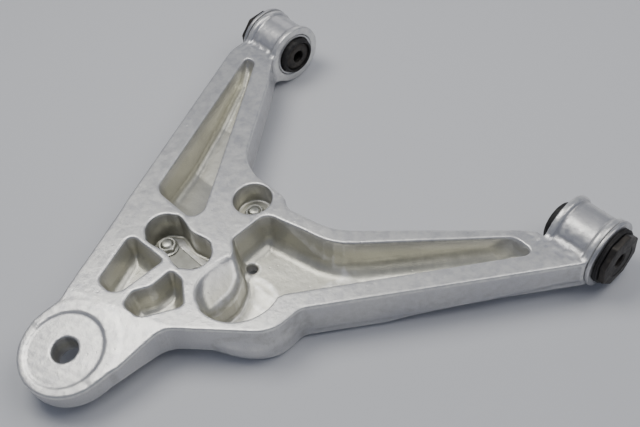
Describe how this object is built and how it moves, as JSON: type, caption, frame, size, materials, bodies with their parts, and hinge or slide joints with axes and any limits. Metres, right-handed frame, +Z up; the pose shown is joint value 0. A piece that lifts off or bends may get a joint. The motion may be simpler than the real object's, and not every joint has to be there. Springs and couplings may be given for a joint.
{
  "type": "suspension control arm",
  "caption": "Cast A-shaped suspension control arm with a ball joint pad at its outer end, a rubber bush in each inner eye and a bracket bolted underneath.",
  "frame": {"origin": "bottom centre of the whole arm's box, as it lies on a table", "axes": "+X along the pivot axis from the rear bush to the front bush; -Y towards the ball joint end; +Z up, the side the pockets open on"},
  "size_m": [0.4494, 0.4402, 0.0616],
  "materials": {
    "painted_casting": "silver paint over a sand-cast skin, satin, slightly grainy",
    "bush_can": "silver paint over steel, worn at the rim",
    "bush_rubber": "matt black, slightly dusty",
    "dark_steel": "dark phosphate coat, satin",
    "bracket_steel": "silver paint over steel",
    "painted_fastener": "silver paint over plated steel, bright on the edges"
  },
  "bodies": {
    "arm": {"arm_casting": "painted_casting", "rear_bush_can": "bush_can", "rear_bush_rubber": "bush_rubber", "front_bush_can": "bush_can", "front_bush_rubber": "bush_rubber", "lower_bracket": "bracket_steel", "nut_bar": "painted_fastener", "bracket_bolt_left": "painted_fastener", "bracket_washer_left": "painted_fastener", "bracket_bolt_right": "painted_fastener", "bracket_washer_right": "painted_fastener", "bracket_bolt_round": "painted_fastener", "bracket_washer_round": "painted_fastener", "bracket_nut_left": "painted_fastener", "bracket_nut_round": "painted_fastener"},
    "rear_bush_core": {"rear_bush_sleeve": "dark_steel", "rear_inner_washer": "dark_steel", "rear_outer_washer": "dark_steel"},
    "front_bush_core": {"front_bush_sleeve": "dark_steel", "front_inner_washer": "dark_steel", "front_outer_washer": "dark_steel"}
  },
  "joints": [
    {"name": "rear_bush_twist", "type": "hinge", "parent": "arm", "child": "rear_bush_core", "pos_m": [-0.1895, 0.18952, 0.031], "axis": [1, 0, 0], "range_deg": [-20, 20], "stiffness_Nm_per_rad": 10},
    {"name": "front_bush_twist", "type": "hinge", "parent": "arm", "child": "front_bush_core", "pos_m": [0.1895, 0.18952, 0.031], "axis": [1, 0, 0], "range_deg": [-20, 20], "stiffness_Nm_per_rad": 10}
  ]
}
